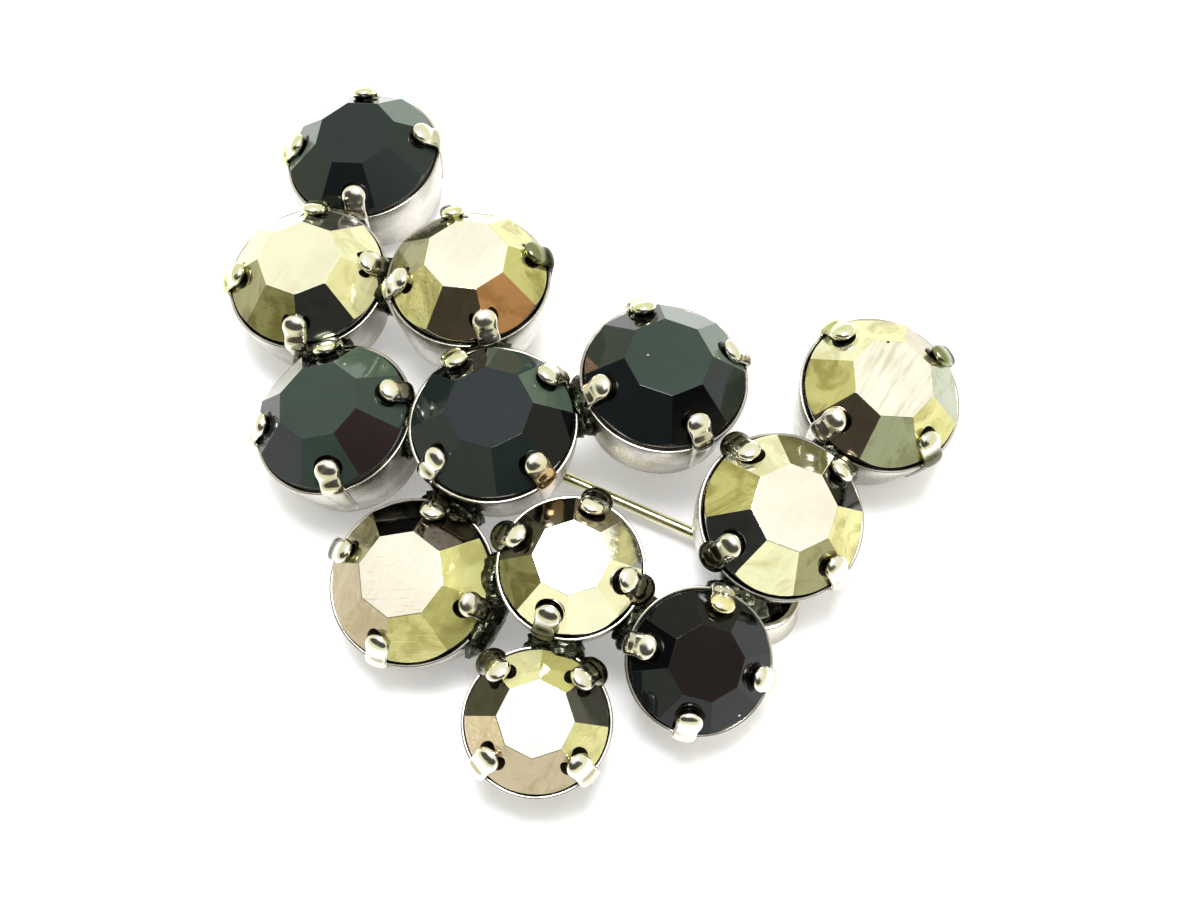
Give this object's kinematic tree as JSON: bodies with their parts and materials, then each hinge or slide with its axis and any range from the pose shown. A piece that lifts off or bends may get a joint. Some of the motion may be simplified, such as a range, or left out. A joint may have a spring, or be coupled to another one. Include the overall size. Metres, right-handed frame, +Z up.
{
  "type": "rhinestone brooch",
  "caption": "Domed cluster brooch of round prong-set faceted stones in pale gold and black, soldered in silver-coloured cups, with a wire pin, hinge and catch behind.",
  "frame": {"origin": "middle of the brooch's box, on the surface that its back lies on", "axes": "+Z up out of the front, with the brooch lying on its back; +Y along its longest side, towards the single black stone at the top; +X to the wearer's left"},
  "size_m": [0.0388, 0.0427, 0.0096],
  "materials": {
    "silver_metal": "bright silver-coloured plating, softly polished",
    "gold_stone": "cut glass with a pale gold mirror coating",
    "black_stone": "opaque black cut glass, highly polished"
  },
  "bodies": {
    "brooch": {"setting_frame": "silver_metal", "hinge_rivet": "silver_metal", "black_stone_1": "black_stone", "gold_stone_1": "gold_stone", "gold_stone_2": "gold_stone", "black_stone_2": "black_stone", "black_stone_3": "black_stone", "black_stone_4": "black_stone", "gold_stone_3": "gold_stone", "gold_stone_4": "gold_stone", "gold_stone_5": "gold_stone", "gold_stone_6": "gold_stone", "black_stone_5": "black_stone", "gold_stone_7": "gold_stone"},
    "pin": {"pin_stem": "silver_metal"}
  },
  "joints": [
    {"name": "pin_hinge", "type": "hinge", "parent": "brooch", "child": "pin", "pos_m": [-0.00576, -0.00087, 0.00185], "axis": [0.433, 0.7965, -0.4221], "range_deg": [0, 80]}
  ]
}
